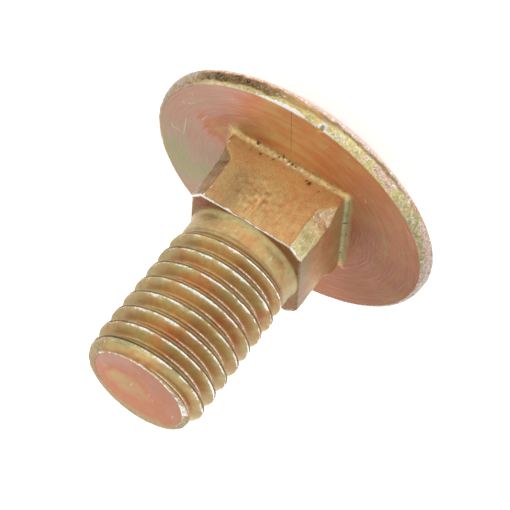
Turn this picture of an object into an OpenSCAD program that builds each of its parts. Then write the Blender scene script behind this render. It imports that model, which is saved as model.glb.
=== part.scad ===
// Short truss head carriage bolt, one cold-headed piece with a rolled thread.
// Millimetres. The crown of the head stands on z = 0 and the thread points up +Z.
// The front flat of the square neck faces +X.

/* [Head] */
// Diameter of the head over its widest line
head_d = 24.5; // [12:0.1:40]
// Height of the head from the crown to the bearing face
head_h = 4.9; // [2:0.1:9]
// Diameter of the small flat at the crown
crown_flat_d = 3.2; // [0.5:0.1:6]
// Height of the rim from the dome up to the bearing face
rim_h = 1.17; // [0.4:0.01:3]
// Height of the rounding at the edge of the bearing face
rim_round_h = 0.73; // [0.1:0.01:1.5]
// Width of the rounding at the edge of the bearing face
rim_round_w = 0.41; // [0.1:0.01:1.5]

/* [Square neck] */
// Width over flats of the square neck
neck_w = 9.95; // [5:0.05:16]
// Length of the square neck under the head
neck_h = 6.0; // [2:0.1:12]
// Draft of each flat over the length of the neck
neck_draft = 0.06; // [0:0.01:0.4]
// Radius of the die that leaves the corners under-filled
corner_r = 6.25; // [5:0.05:9]
// Height above the bearing face up to which the corners are sharp
corner_sharp_h = 0.9; // [0:0.05:3]
// Height above the bearing face at which the under-filled corners begin
corner_flare_h = 2.25; // [0.5:0.05:5]
// Reach of the fillet on the bearing face
root_w = 0.36; // [0:0.01:1]
// Reach of the fillet up the flats
root_h = 0.25; // [0.05:0.01:1]
// Bevel on the outer end of the neck
neck_bevel = 0.14; // [0:0.01:0.6]

/* [Shank] */
// Diameter of the plain shank
shank_d = 9.3; // [5:0.05:16]
// Length of the plain shank between neck and thread run-out
shank_plain = 1.75; // [0.5:0.05:20]
// Extra radius of the ring where the shank leaves the neck
ring_w = 0.2; // [0:0.01:0.6]
// Height of that ring
ring_h = 0.48; // [0.1:0.01:1]
// Length from the bearing face to the end of the thread
length = 19.8; // [12:0.1:60]

/* [Thread] */
// Outside diameter of the rolled thread
thread_d = 9.8; // [5:0.05:16]
// Diameter at the bottom of the thread
root_d = 8.16; // [4:0.01:14]
// Pitch, single start, right hand
pitch = 1.5; // [0.8:0.05:3]
// Width of the crest
crest_w = 0.39; // [0.1:0.01:1]
// Depth of the seam the rolling leaves along the crest
seam_h = 0.08; // [0:0.01:0.2]
// Length over which the thread fades in from the shank
fade_h = 1.4; // [0.5:0.1:4]
// Height of a crest above the bearing face on the +X side
crest_at = 0.885; // [0:0.005:1.5]

/* [Point] */
// Diameter of the flat end
end_d = 7.8; // [4:0.1:12]
// Diameter where the rounded shoulder meets the chamfer
shoulder_d = 9.1; // [5:0.1:14]
// Drop of the rounded shoulder below the flat end
shoulder_h = 0.2; // [0.05:0.01:1]
// Height of the chamfer below the shoulder
point_h = 0.45; // [0.1:0.01:2]

/* [Hidden] */
$fn = 96;
face_z = head_h;
neck_z = face_z + neck_h;
end_z = face_z + length;
head_r = head_d / 2;
dome_h = head_h - rim_h;
crown_r = crown_flat_d / 2;
dome_mid = (head_r * head_r + dome_h * dome_h - crown_r * crown_r) / (2 * dome_h);
dome_r = sqrt(dome_mid * dome_mid + crown_r * crown_r);
thread_z = neck_z + shank_plain;
steps = 48;

// Rounded rim of the head: an elliptic quarter from the bearing face to the widest line.
rim_steps = 6;
rim_line = [
    for (k = [0 : rim_steps])
        let (a = 90 * k / rim_steps)
        [head_r - rim_round_w * (1 - cos(a)), face_z - rim_round_h * (1 - sin(a))]
];

// Section of one turn: height from the middle of the crest, then radius.
crest_r = thread_d / 2;
valley_r = root_d / 2;
turn = [
    [-0.62 * pitch / 1.5, valley_r + 0.05],
    [-crest_w / 2, crest_r - 0.06],
    [-crest_w * 0.28, crest_r],
    [0, crest_r - seam_h],
    [crest_w * 0.28, crest_r],
    [crest_w / 2, crest_r - 0.06],
    [0.62 * pitch / 1.5, valley_r + 0.05],
    [pitch / 2, valley_r]
];
rows_a_turn = len(turn);

// The helical rod runs from just inside the plain shank to beyond the point.
rod_lo = thread_z - 0.2;
rod_hi = end_z + 0.4;
first = floor((rod_lo - face_z - crest_at) / pitch) - 2;
turns = ceil((rod_hi - rod_lo) / pitch) + 4;
rows = turns * rows_a_turn;

function row_z(i, k) =
    face_z + crest_at + pitch * (first + i / steps + floor(k / rows_a_turn)) + turn[k % rows_a_turn][0];
function fade(z) = max(0, min(1, (z - rod_lo) / fade_h));
function row_r(z, r) = shank_d / 2 - 0.12 + (r - shank_d / 2 + 0.12) * fade(z);
function keep(i, k) = max(low[i], min(high[i], k));
function id(i, k) = i < steps ? i * rows + keep(i, k) : keep(0, k + rows_a_turn);

low = [for (i = [0 : steps - 1]) max([for (k = [0 : rows - 1]) if (row_z(i, k) <= rod_lo) k])];
high = [for (i = [0 : steps - 1]) min([for (k = [0 : rows - 1]) if (row_z(i, k) >= rod_hi) k])];

rod_points = [
    for (i = [0 : steps - 1])
        for (k = [0 : rows - 1])
            let (z = max(rod_lo, min(rod_hi, row_z(i, k))))
            let (flat = row_z(i, k) >= rod_hi)
            let (r = flat ? valley_r : row_r(z, turn[k % rows_a_turn][1]))
            [r * cos(360 * i / steps), r * sin(360 * i / steps), z]
];
rod_count = len(rod_points);
rod_side = [
    for (i = [0 : steps - 1])
        for (k = [0 : rows - rows_a_turn - 2])
            let (a = id(i, k))
            let (b = id(i, k + 1))
            let (c = id(i + 1, k + 1))
            let (d = id(i + 1, k))
            each [if (a != b && b != c && a != c) [a, b, c], if (a != c && c != d && a != d) [a, c, d]]
];
rod_ends = [
    for (i = [0 : steps - 1])
        each [
            [rod_count, id(i, 0), id(i + 1, 0)],
            [rod_count + 1, id(i + 1, rows - rows_a_turn - 1), id(i, rows - rows_a_turn - 1)]
        ]
];

// A square frustum standing on z0, given by half its width at both ends.
module square_step(z0, h, half_lo, half_hi) {
    translate([0, 0, z0])
        rotate([0, 0, 45])
            cylinder(h = h, r1 = half_lo * sqrt(2), r2 = half_hi * sqrt(2), $fn = 4);
}

// Low truss head: a rimmed disc whose underside is cut by the sphere of the dome.
module head() {
    intersection() {
        rotate_extrude()
            polygon(concat([[0, 0], [head_r, 0]], rim_line, [[0, face_z]]));
        translate([0, 0, dome_mid])
            sphere(r = dome_r);
    }
}

// Square neck: four flats whose corners the die fills only beside the head.
module neck() {
    half = neck_w / 2;
    half_end = half - neck_draft;
    slope = root_w / root_h;
    intersection() {
        union() {
            square_step(face_z - 0.5, neck_h + 0.5 - neck_bevel, half, half_end);
            square_step(neck_z - neck_bevel, neck_bevel, half_end, half_end - neck_bevel);
            square_step(face_z - 0.3, root_h + 0.3, half + root_w + 0.3 * slope, half);
        }
        rotate_extrude()
            polygon([
                [0, face_z - 1],
                [corner_r + 4, face_z - 1],
                [corner_r + 4, face_z + 0.02],
                [neck_w * 0.74, face_z + corner_sharp_h],
                [corner_r, face_z + corner_flare_h],
                [corner_r, neck_z - neck_bevel * 2],
                [corner_r - neck_bevel, neck_z],
                [0, neck_z]
            ]);
    }
}

// Plain shank with the small ring at its root.
module shank() {
    translate([0, 0, face_z + 1])
        cylinder(h = thread_z - face_z - 1, r = shank_d / 2);
    translate([0, 0, neck_z - 0.3])
        cylinder(
            h = ring_h + 0.3,
            r1 = shank_d / 2 + ring_w * (ring_h + 0.3) / ring_h,
            r2 = shank_d / 2
        );
}

// Rolled thread with its core, cut to the rounded point.
module thread() {
    intersection() {
        polyhedron(
            points = concat(rod_points, [[0, 0, rod_lo], [0, 0, rod_hi]]),
            faces = concat(rod_side, rod_ends),
            convexity = 10
        );
        rotate_extrude()
            polygon([
                [0, rod_lo - 1],
                [crest_r + 1, rod_lo - 1],
                [crest_r + 1, end_z - shoulder_h - point_h * (crest_r + 1 - shoulder_d / 2) / (crest_r - shoulder_d / 2)],
                [shoulder_d / 2, end_z - shoulder_h],
                [end_d / 2, end_z],
                [0, end_z]
            ]);
    }
}

module screw() {
    color([0.74, 0.58, 0.38])
        union() {
            head();
            neck();
            shank();
            thread();
        }
}

screw();
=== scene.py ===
# %% [markdown]
# # A short truss head carriage bolt in yellow zinc
# This bolt is one piece of cold-headed wire: a low domed head, a square neck that bites into
# wood, a plain shank and a rolled thread. It was plated with zinc and dipped in a yellow
# chromate, which leaves a thin film of many colours. The lesson builds its skin as one closed
# mesh of rings, paints the wear and some painted highlights and shade on the points, and lets
# shader groups turn that into metal.

# %% Load the imported frame
import math

import bpy
from mathutils import Matrix, Vector, noise


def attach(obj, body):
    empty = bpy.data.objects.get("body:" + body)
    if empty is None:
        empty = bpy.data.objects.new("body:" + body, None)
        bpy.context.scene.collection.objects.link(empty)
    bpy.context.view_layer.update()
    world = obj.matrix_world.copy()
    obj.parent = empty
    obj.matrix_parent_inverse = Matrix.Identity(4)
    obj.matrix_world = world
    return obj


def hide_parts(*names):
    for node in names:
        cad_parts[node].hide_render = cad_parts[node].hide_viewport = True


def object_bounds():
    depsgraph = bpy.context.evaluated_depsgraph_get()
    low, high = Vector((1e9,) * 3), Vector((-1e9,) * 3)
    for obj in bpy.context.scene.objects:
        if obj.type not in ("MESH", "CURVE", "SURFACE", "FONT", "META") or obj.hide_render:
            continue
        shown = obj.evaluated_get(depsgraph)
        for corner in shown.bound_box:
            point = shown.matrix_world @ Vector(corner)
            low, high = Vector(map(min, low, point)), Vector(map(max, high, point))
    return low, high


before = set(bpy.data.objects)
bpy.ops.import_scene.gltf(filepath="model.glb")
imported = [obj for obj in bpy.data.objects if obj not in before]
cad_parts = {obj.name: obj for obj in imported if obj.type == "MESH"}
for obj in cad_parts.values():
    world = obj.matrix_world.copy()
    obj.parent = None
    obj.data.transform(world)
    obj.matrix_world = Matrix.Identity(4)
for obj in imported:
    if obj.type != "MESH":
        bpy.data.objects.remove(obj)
cad_low, cad_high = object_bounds()
print("frame box (m):", tuple(cad_low), tuple(cad_high))

# %% [markdown]
# ## The camera and a helper for directions
# The bolt stands on its head with the thread up, yet it is seen as if it lay in a hand: the
# camera looks down at the underside of the head and is rolled far over. A long lens keeps the
# view nearly parallel. Directions are given as an azimuth from +X and an elevation.

# %% Camera
MM = 0.001
CAMERA_AIM = (-0.196, -0.663, 10.387)     # mm, near the middle of the axis
CAMERA_DISTANCE = 197.14                  # mm
CAMERA_AZIMUTH = -16.48
CAMERA_ELEVATION = 25.34
CAMERA_ROLL = 141.98
CAMERA_LENS = 185.28                      # on a 36 mm sensor


def direction(azimuth, elevation):
    """Unit vector at an azimuth from +X towards +Y and an elevation above the floor."""
    a, e = math.radians(azimuth), math.radians(elevation)
    return Vector((math.cos(e) * math.cos(a), math.cos(e) * math.sin(a), math.sin(e)))


def make_camera():
    back = direction(CAMERA_AZIMUTH, CAMERA_ELEVATION)
    right = Vector((0, 0, 1)).cross(back).normalized()
    up = back.cross(right)
    roll = math.radians(CAMERA_ROLL)
    rolled_up = up * math.cos(roll) + right * math.sin(roll)
    rolled_right = rolled_up.cross(back)
    turn = Matrix((rolled_right, rolled_up, back)).transposed()
    data = bpy.data.cameras.new("camera")
    data.lens = CAMERA_LENS
    data.sensor_width = 36
    data.clip_start = 0.01
    camera = bpy.data.objects.new("camera", data)
    place = (Vector(CAMERA_AIM) + back * CAMERA_DISTANCE) * MM
    camera.matrix_world = Matrix.Translation(place) @ turn.to_4x4()
    bpy.context.scene.collection.objects.link(camera)
    bpy.context.scene.camera = camera
    return camera


camera = make_camera()
print("camera at (m):", tuple(round(v, 4) for v in camera.location))

# %% [markdown]
# ## Sizes of the bolt
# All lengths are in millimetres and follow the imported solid, whose box gives the diameter of
# the head and the full height. Heights named `_z` are measured from the crown of the head.

# %% Sizes
head_r = min(cad_high.x - cad_low.x, cad_high.y - cad_low.y) / 2 / MM
end_z = cad_high.z / MM
head_h = 4.9
face_z = head_h
rim_h = 1.17
rim_round_h, rim_round_w = 0.73, 0.41
crown_r = 1.6
dome_h = head_h - rim_h
dome_mid = (head_r ** 2 + dome_h ** 2 - crown_r ** 2) / (2 * dome_h)
dome_r = math.hypot(dome_mid, crown_r)
neck_half, neck_h, neck_draft = 4.975, 6.0, 0.06
neck_z = face_z + neck_h
root_w, root_h = 0.36, 0.25
shank_r, shank_plain = 4.65, 1.75
ring_w, ring_h = 0.2, 0.48
thread_z = neck_z + shank_plain
crest_r, valley_r = 4.9, 4.08
pitch = 1.5
crest_at = 0.885
end_r = 3.9
print("head radius", round(head_r, 3), "height", round(end_z, 3), "dome radius", round(dome_r, 2))

# %% [markdown]
# ## A skin of rings
# A headed and rolled part could be cut from cylinders with booleans, but that leaves long thin
# faces that show in a shiny surface. Rings of points round the axis, each joined to the next,
# stay even, and fine rings go only where the metal is rough. Every point also carries its coat:
# how thick the chromate film is, how light it is, how far it is worn, and how much dirt it holds.
# The lightness also holds painted light and shade, the wear painted highlights, and the dirt
# painted shade and a painted dark reflection.

# %% Points and rings
points, coats, faces, zones = [], [], [], []


def add_point(angle, radius, height, coat):
    points.append((radius * math.cos(angle), radius * math.sin(angle), height))
    coats.append(coat)
    return len(points) - 1


def ring(count, place, t, paint):
    """Adds count points: place(angle, t) gives radius and height, paint(angle, r, z) the coat."""
    row = []
    for i in range(count):
        angle = 2 * math.pi * i / count
        radius, height = place(angle, t)
        row.append(add_point(angle, radius, height, paint(angle, radius, height)))
    return row


# %% Faces between rings
def add_face(corners, zone):
    kept = [c for k, c in enumerate(corners) if c != corners[k - 1]]
    if len(kept) > 2:
        faces.append(kept)
        zones.append(zone)


def join(inner, outer, zone):
    """Joins two rings: squares between equal rings, else triangles that walk round both."""
    n, m = len(inner), len(outer)
    if n == m:
        for i in range(n):
            j = (i + 1) % n
            add_face([inner[i], inner[j], outer[j], outer[i]], zone)
        return
    i = j = 0
    while i < n or j < m:
        if j == m or (i < n and (i + 0.5) / n < (j + 0.5) / m):
            add_face([inner[i % n], inner[(i + 1) % n], outer[j % m]], zone)
            i += 1
        else:
            add_face([inner[i % n], outer[(j + 1) % m], outer[j % m]], zone)
            j += 1


def build_rings(rings, zone):
    for lower, upper in zip(rings, rings[1:]):
        join(lower, upper, zone)


# %% [markdown]
# ## Noise, soft steps and places round the axis
# Forged metal is nowhere quite even. A sculpted surface could show that, but smooth noise of a
# chosen size, added only where it belongs, gives the same grain on every run. Steps and bumps
# with soft ends say where it belongs, in millimetres or in degrees round the axis.

# %% Noise
def grain_at(angle, radius, height):
    """Smooth noise at one place, as a function of the size of its lumps in mm and of a seed."""
    here = Vector((radius * math.cos(angle), radius * math.sin(angle), height))
    return lambda size, seed: noise.noise(here / size + Vector((seed, -seed, 0.5 * seed)))


def grain(angle, radius, height, size, seed):
    """The same noise for a single use, between about -1 and 1."""
    return grain_at(angle, radius, height)(size, seed)


print("noise at the rim:", round(grain(0, head_r, face_z, 0.5, 1), 3))


# %% Soft steps and bumps
def blend(a, b, t):
    return a + (b - a) * t


def step_up(a, b, x):
    """0 below a, 1 above b, smooth between."""
    t = max(0.0, min(1.0, (x - a) / (b - a)))
    return t * t * (3 - 2 * t)


def step_down(a, b, x):
    return 1 - step_up(a, b, x)


def bump_at(x, middle, width):
    return math.exp(-((x - middle) / width) ** 2)


def smooth_min(a, b, k):
    h = max(k - abs(a - b), 0.0)
    return min(a, b) - h * h / (4 * k)


# %% Places round the axis
def turn_from(angle, azimuth):
    """Signed angle in degrees from an azimuth, between -180 and 180."""
    return (math.degrees(angle) - azimuth + 180) % 360 - 180


def toward(angle, azimuth, reach):
    """1 at an azimuth, fading over the reach in degrees on both sides."""
    return bump_at(turn_from(angle, azimuth), 0, reach)


def within(angle, azimuth, near, far):
    """1 up to near degrees from an azimuth, 0 beyond far degrees."""
    return step_down(near, far, abs(turn_from(angle, azimuth)))


print("within 10 to 30 degrees of +X, at 20:", within(math.radians(20), 0, 10, 30))

# %% [markdown]
# ## The coat of each region
# The film is thickest where the bath drained slowly, so its colour drifts over a few
# millimetres. `film` runs from 0 (olive) through gold, orange and pink to 1 (green), and `tone`
# is its lightness; in places both also hold painted light and shade. An image wrapped round the
# bolt could hold this, but values painted on the points need no unwrapping. Each bloom below is
# a patch, and patches blend by distance.

# %% Blooms on the bearing face
# The darker, browner blooms toward -Y are painted shade, where the face reflects less of the bright sky.
# azimuth, radius, reach (mm), film, tone
FACE_BLOOMS = [
    (87, 11.9, 2.6, 0.74, 0.86),
    (100, 11.2, 2.3, 0.94, 0.90),
    (113, 10.6, 2.6, 1.00, 0.90),
    (129, 11.4, 2.4, 0.70, 0.90),
    (93, 8.0, 2.0, 0.74, 0.80),
    (68, 10.2, 2.2, 0.72, 0.84),
    (50, 10.8, 2.6, 0.68, 0.90),
    (32, 11.2, 2.4, 0.66, 0.96),
    (62, 8.4, 1.8, 0.30, 0.90),
    (46, 8.0, 1.7, 0.33, 0.72),
    (29, 7.5, 1.6, 0.31, 0.86),
    (14, 9.6, 2.4, 0.31, 1.26),
    (-4, 8.8, 2.6, 0.30, 1.34),
    (-20, 10.0, 2.8, 0.35, 1.26),
    (-38, 9.8, 2.8, 0.38, 1.00),
    (-55, 10.4, 2.6, 0.42, 0.80),
    (-60, 7.8, 1.6, 0.32, 0.66),
    (-78, 8.2, 1.7, 0.44, 0.54),
    (-76, 11.0, 2.6, 0.46, 0.70),
    (-82, 9.4, 1.1, 0.34, 0.72),
    (-106, 10.6, 2.8, 0.44, 0.56),
    (-130, 10.2, 3.0, 0.42, 0.60),
    (180, 9.5, 5.0, 0.50, 0.80),
]


def bloom_mix(blooms, x, y):
    """Weighted mean of film and tone over the blooms near a point."""
    total, film, tone = 1e-6, 0.0, 0.0
    for azimuth, radius, reach, bloom_film, bloom_tone in blooms:
        a = math.radians(azimuth)
        d2 = (x - radius * math.cos(a)) ** 2 + (y - radius * math.sin(a)) ** 2
        weight = math.exp(-d2 / reach ** 2)
        total += weight
        film += weight * bloom_film
        tone += weight * bloom_tone
    return film / total, tone / total


def show_coat(place, coat):
    print(place, "film %.2f, tone %.2f, wear %.2f, soil %.2f" % coat)


# %% Coats of the bearing face and the dome
def paint_face(angle, radius, height):
    film, tone = bloom_mix(FACE_BLOOMS, radius * math.cos(angle), radius * math.sin(angle))
    film += 0.06 * grain(angle, radius, 0, 1.6, 3)
    # On the +Y side gold meets pink with little orange between them.
    if film < 0.70:
        jump = step_up(24, 50, turn_from(angle, 0))
        film = blend(film, 0.31 + 0.40 * step_up(0.32, 0.60, film), jump)
    brightening = 0.4 * bump_at(radius, head_r - rim_round_w, 0.05)
    return film, tone, brightening, 0.0


def paint_dome(angle, radius, height):
    grains = grain_at(angle, radius, height)
    film = 0.36 + 0.22 * grains(7.0, 11) + 0.10 * grains(2.5, 4)
    tone = 0.98 + 0.05 * grains(3.0, 8)
    edge = step_up(head_r - 1.3, head_r - 0.3, radius)
    return blend(film, 0.80, edge), tone + 0.25 * edge, 0.62 * edge, 0.0


show_coat("bearing face, +X side:", paint_face(0, 9, face_z))
show_coat("dome, half way out:", paint_dome(0, 6, 1))

# %% Parts of the rim's coat
# Two marks pressed into the rim: place, size and depth in mm.
chip = dict(azimuth=-11.1, down=0.16, size=0.26, depth=0.22)
dimple = dict(azimuth=-54.5, down=0.40, size=0.24, depth=0.05)


def from_mark(mark, angle, down):
    """Distance from the middle of a mark on the rim, in sizes of the mark."""
    across = math.radians(turn_from(angle, mark["azimuth"])) * head_r
    return math.hypot(across, down - mark["down"]) / mark["size"]


def rim_pink(az, down, lump):
    """Pink patches on the -Y side of the rim, and the worn line round them."""
    pink = bump_at(az, -38, 7) * bump_at(down, 0.40, 0.3)
    pink += 0.9 * step_up(-56, -70, az) * step_up(0.2, 0.5, down + 0.4 * step_up(-76, -90, az))
    pink += 0.5 * lump
    return step_up(0.42, 0.52, pink), bump_at(pink, 0.47, 0.07)


def rim_dark_reflection(az, down, lump):
    """The dark band along the middle of the rim: a painted dark reflection."""
    dark_reflection = 0.55 * step_up(-20, -8, az) + 0.45 * step_up(-4, 12, az)
    dark_reflection *= 1 - 0.75 * step_up(36, 54, az)
    top = 0.12 + 0.34 * step_down(-6, 16, az)
    dark_reflection *= step_up(top, top + 0.16, down + 0.12 * lump) * step_down(0.80, 1.00, down + 0.14 * lump)
    return dark_reflection


def edge_wear_and_highlight(angle, az, down):
    """Wear of the inner edge, where hands and boxes touch it, and a painted highlight on it: widest in
    front, ragged everywhere.
    """
    ragged = 1.0 + 0.8 * grain(angle, head_r, 0, 0.9, 28) + 0.4 * grain(angle, head_r, 0, 0.25, 29)
    width = (0.05 + 0.06 * bump_at(az, -12, 6) + 0.09 * bump_at(az, 4, 8)) * max(0.1, ragged)
    strength = 0.32 + 0.12 * step_up(-8, 4, az)
    strength += 0.35 * bump_at(az, -12, 5)
    strength += 1.1 * bump_at(az, 5, 7)
    return strength * step_down(width, width + 0.06, down)


# %% Coat of the rim
def paint_rim(angle, radius, height):
    down = face_z - height
    az = turn_from(angle, 0)
    grains = grain_at(angle, radius, height)
    lump = grains(0.7, 21)
    fine = grains(0.25, 5)
    slant = angle + 1.1 * height / head_r
    streak = 0.6 * grain(slant, head_r, height * 0.5, 0.24, 27)
    streak += 0.6 * grain(slant, head_r, height * 0.6, 0.7, 22)
    pink, pink_edge = rim_pink(az, down, lump)
    dark_reflection = rim_dark_reflection(az, down, lump)
    thin_band = step_up(0, -12, az) * step_up(-56, -42, az) * bump_at(down + 0.12 * lump, 0.84, 0.14)
    plus_y = step_up(34, 52, az) * step_down(78, 100, az)
    outer = step_up(0.86, 1.02, down + 0.12 * lump) * step_up(-66, -50, az)
    # The film is gold with green lumps and pink patches, and pale pink next to the dome.
    film = 0.11 + 0.10 * step_up(0.05, 0.45, lump) + 0.05 * fine
    green = step_up(0.05, 0.30, grains(0.5, 23))
    film = blend(film, 0.07, 0.8 * green * step_up(-12, -24, az))
    film = blend(film, 0.70, pink)
    film = blend(film, 0.78, outer)
    film = blend(film, 0.27, max(dark_reflection, plus_y))
    tone = blend(1.30 + 0.30 * fine, 0.98 * (1 + 0.9 * streak), max(dark_reflection, plus_y))
    tone *= (1 - 0.36 * step_up(-44, -60, az)) * (1 - 0.20 * step_up(-76, -90, az)) * (1 - 0.15 * plus_y)
    tone *= 1 + 0.20 * bump_at(az, -18, 14)
    # Bright metal shows on the inner edge, on flecks and patches, and round the chip. The inner
    # edge also carries a painted highlight, widest in front; the flecks in front and in the dark band
    # are painted glints, and the bright ring round the chip is partly a painted highlight.
    flecks = step_up(0.15, 0.45, grain(slant, radius, height, 0.20, 30))
    patches = step_up(0.0, 0.4, grain(slant, radius, height, 0.38, 31))
    chipped = from_mark(chip, angle, down)
    brightening = max(
        edge_wear_and_highlight(angle, az, down),
        0.75 * flecks * bump_at(az, -16, 14) * step_up(0.5, 0.75, down),
        (0.32 + 0.14 * patches + 0.08 * flecks) * step_up(-1, -12, az),
        0.44 * pink,
        0.60 * pink_edge,
        0.50 * outer,
        0.56 * flecks * dark_reflection * (1 + 0.5 * bump_at(az, 4, 14)),
        (0.34 + 0.30 * step_up(0.1, 0.4, streak)) * plus_y,
        0.40 * bump_at(az, -90, 16),
        0.55 * bump_at(down, rim_h, 0.09),
        1.1 * bump_at(chipped, 0.95, 0.30),
    )
    # The dark band is a painted dark reflection, with a thin dark line beyond it. Dirt stays in the
    # torn streaks on the +Y side, the chip is darker in its middle, and the rim darkens a little
    # toward -Y.
    darkening = dark_reflection * (0.72 + 0.60 * streak + 0.25 * fine) * (1 - 0.45 * bump_at(az, 4, 9))
    darkening = max(darkening, 0.62 * thin_band, (0.16 + 0.40 * step_up(0.0, 0.35, streak)) * plus_y)
    darkening = blend(darkening, 0.28, step_down(0.5, 0.8, chipped))
    return film, tone, brightening, max(0.0, darkening, 0.16 * bump_at(az, -86, 20))


show_coat("rim, half way up in front:", paint_rim(0, head_r, face_z - 0.6))

# %% [markdown]
# ## The head
# The dome is part of a sphere with a small flat at the crown. The rim is a raw forged edge:
# it is torn and lumpy, so noise eats into it, and a chip and a shallow dimple are pressed in.
# Everything is cut into the metal and nothing is added, so the head keeps its true size.

# %% Torn metal of the rim
rim_edge_soft = 0.14


def dent(mark, angle, down):
    """How deep a pressed mark on the rim is at this place, in mm."""
    return mark["depth"] * step_down(0.6, 1.2, from_mark(mark, angle, down))


def rim_tear(angle, radius, height):
    """Depth in mm that the forging left out of the raw rim."""
    down = face_z - height
    slant = angle + 0.5 * height / head_r
    lumps = 0.045 * grain(angle, radius, height, 0.9, 2)
    lumps += 0.055 * grain(slant, radius, height, 0.4, 9)
    teeth = 0.060 * grain(slant, radius, height * 0.4, 0.20, 6)
    raw = step_up(-0.1, 0.25, down) * (1 - 0.6 * step_up(0.9, 1.17, down))
    depth = max(0.0, 0.035 + lumps + teeth) * raw
    return depth + dent(chip, angle, down) + dent(dimple, angle, down)


print("torn away in front (mm):", round(rim_tear(0, head_r, face_z - 0.3), 3))

# %% Places on the dome and the rim
def dome_place(angle, radius):
    if radius <= crown_r:
        return radius, 0.0
    height = dome_mid - math.sqrt(max(dome_r ** 2 - radius ** 2, 0.0))
    return radius, max(0.0, height)


def rim_profile(t):
    """Nominal radius and height along the rim, from the dome edge (0) to the face (1)."""
    if t < 0.08:
        radius = head_r - rim_edge_soft * (1 - t / 0.08) ** 2 * 0.5
        return radius, blend(dome_h - 0.03, dome_h + 0.06, t / 0.08)
    if t < 0.40:
        return head_r, blend(dome_h + 0.06, face_z - rim_round_h, (t - 0.08) / 0.32)
    a = math.pi / 2 * (t - 0.40) / 0.60
    return head_r - rim_round_w * (1 - math.cos(a)), face_z - rim_round_h * (1 - math.sin(a))


def rim_place(angle, t):
    radius, height = rim_profile(t)
    depth = rim_tear(angle, radius, height)
    lean = step_up(0.75, 1.0, t)
    ragged = 0.07 * lean * grain(angle, head_r, 0, 0.5, 14)
    ragged += 0.05 * lean * grain(angle, head_r, 0, 0.22, 15)
    return radius - depth * (1 - 0.4 * lean) - max(0.0, ragged), height - 0.5 * depth * lean


# %% Build the dome and the rim
# number of points, radius (mm)
DOME_RINGS = [
    (24, 0.5), (48, 1.1), (64, crown_r), (96, 2.4), (128, 3.4), (160, 4.5), (192, 5.6), (192, 6.7),
    (256, 7.8), (256, 8.9), (256, 9.9), (384, 10.8), (384, 11.5), (768, 11.95),
]
RIM_POINTS, RIM_ROWS = 768, 20
# Each face belongs to a region, whose number is also the number of its material.
DOME, RIM, FACE, ROOT, NECK, SHANK, THREAD, END = range(8)

crown = add_point(0, 0, 0, paint_dome(0, 0, 0))
dome_rings = [ring(count, dome_place, radius, paint_dome) for count, radius in DOME_RINGS]
for k, outer in enumerate(dome_rings[0]):
    add_face([crown, dome_rings[0][(k + 1) % len(dome_rings[0])], outer], DOME)
build_rings(dome_rings, DOME)
rim_rings = [ring(RIM_POINTS, rim_place, k / RIM_ROWS, paint_rim) for k in range(RIM_ROWS + 1)]
join(dome_rings[-1], rim_rings[0], DOME)
build_rings(rim_rings, RIM)
print("head:", len(points), "points")

# %% [markdown]
# ## The square neck
# The die squeezes four flats but cannot fill the corners away from the head, so each corner
# fades from a sharp edge into a rounded, raw facet. The outline at any height is the smaller
# of a square and an envelope, blended softly, because no struck edge is a perfect line. Each
# corner was filled a little differently, which the list of corners records.

# %% Outline of the neck
corner_sharp_h, corner_flare_h = 0.9, 2.25
corner_flare_r = neck_half * 2 * 0.74
# azimuth of the corner, radius of its facet (mm), lean of the facet (mm for each degree)
CORNERS = [(45, 6.25, 0.0), (135, 6.25, 0.0), (-135, 6.25, 0.0), (-45, 6.20, 0.012)]


def corner_envelope(angle, up):
    azimuth, facet_r, lean = min(CORNERS, key=lambda c: abs(turn_from(angle, c[0])))
    wave = 0.06 * grain(math.radians(azimuth), facet_r, up, 1.1, 24)
    torn = 0.035 * grain(angle, facet_r, up, 0.45, 25)
    facet = facet_r + lean * turn_from(angle, azimuth) + wave + torn - 0.02
    if up < corner_sharp_h:
        return corner_flare_r + (corner_sharp_h - up) * 3
    if up < corner_flare_h:
        t = (up - corner_sharp_h) / (corner_flare_h - corner_sharp_h)
        return blend(corner_flare_r, facet, t)
    return facet


def square_radius(angle, half):
    return half / max(abs(math.cos(angle)), abs(math.sin(angle)))


def flat_half(up, wide=root_w):
    """Half the width over flats at a height above the face; wide is the reach of the root."""
    half = neck_half - neck_draft * up / neck_h
    if up < root_h:
        half = neck_half + wide * (1 - up / root_h) ** 1.12
    bevel = max(0.0, up - (neck_h - 0.12))
    return half - bevel * bevel / 0.12


def root_width(angle):
    """The root is narrower on the flat that faces -Y."""
    return root_w * (1 - 0.32 * within(angle, -90, 41, 45))


def neck_radius(angle, up):
    return smooth_min(square_radius(angle, flat_half(up)), corner_envelope(angle, up), 0.06)


print("neck over flats (mm):", round(2 * neck_radius(0, 3), 2))
print("neck over corners (mm):", round(2 * neck_radius(math.pi / 4, 3), 2))

# %% Coats of the flats and the corners
# Film and tone of the four flats, starting with the one that faces +X and going round.
FLAT_COATS = [(0.30, 1.16), (0.31, 1.05), (0.33, 1.02), (0.30, 0.92)]
# Film and tone of the corner facets, wear of their creases and of their tips, as in CORNERS.
CORNER_COATS = [
    (0.28, 0.50, 0.75, 0.40),
    (0.30, 0.95, 0.30, 0.20),
    (0.20, 0.95, 0.50, 0.30),
    (0.10, 1.12, 0.60, 0.50),
]


def corner_of(angle):
    """Number of the nearest corner in CORNERS."""
    return min(range(4), key=lambda k: abs(turn_from(angle, CORNERS[k][0])))


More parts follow.
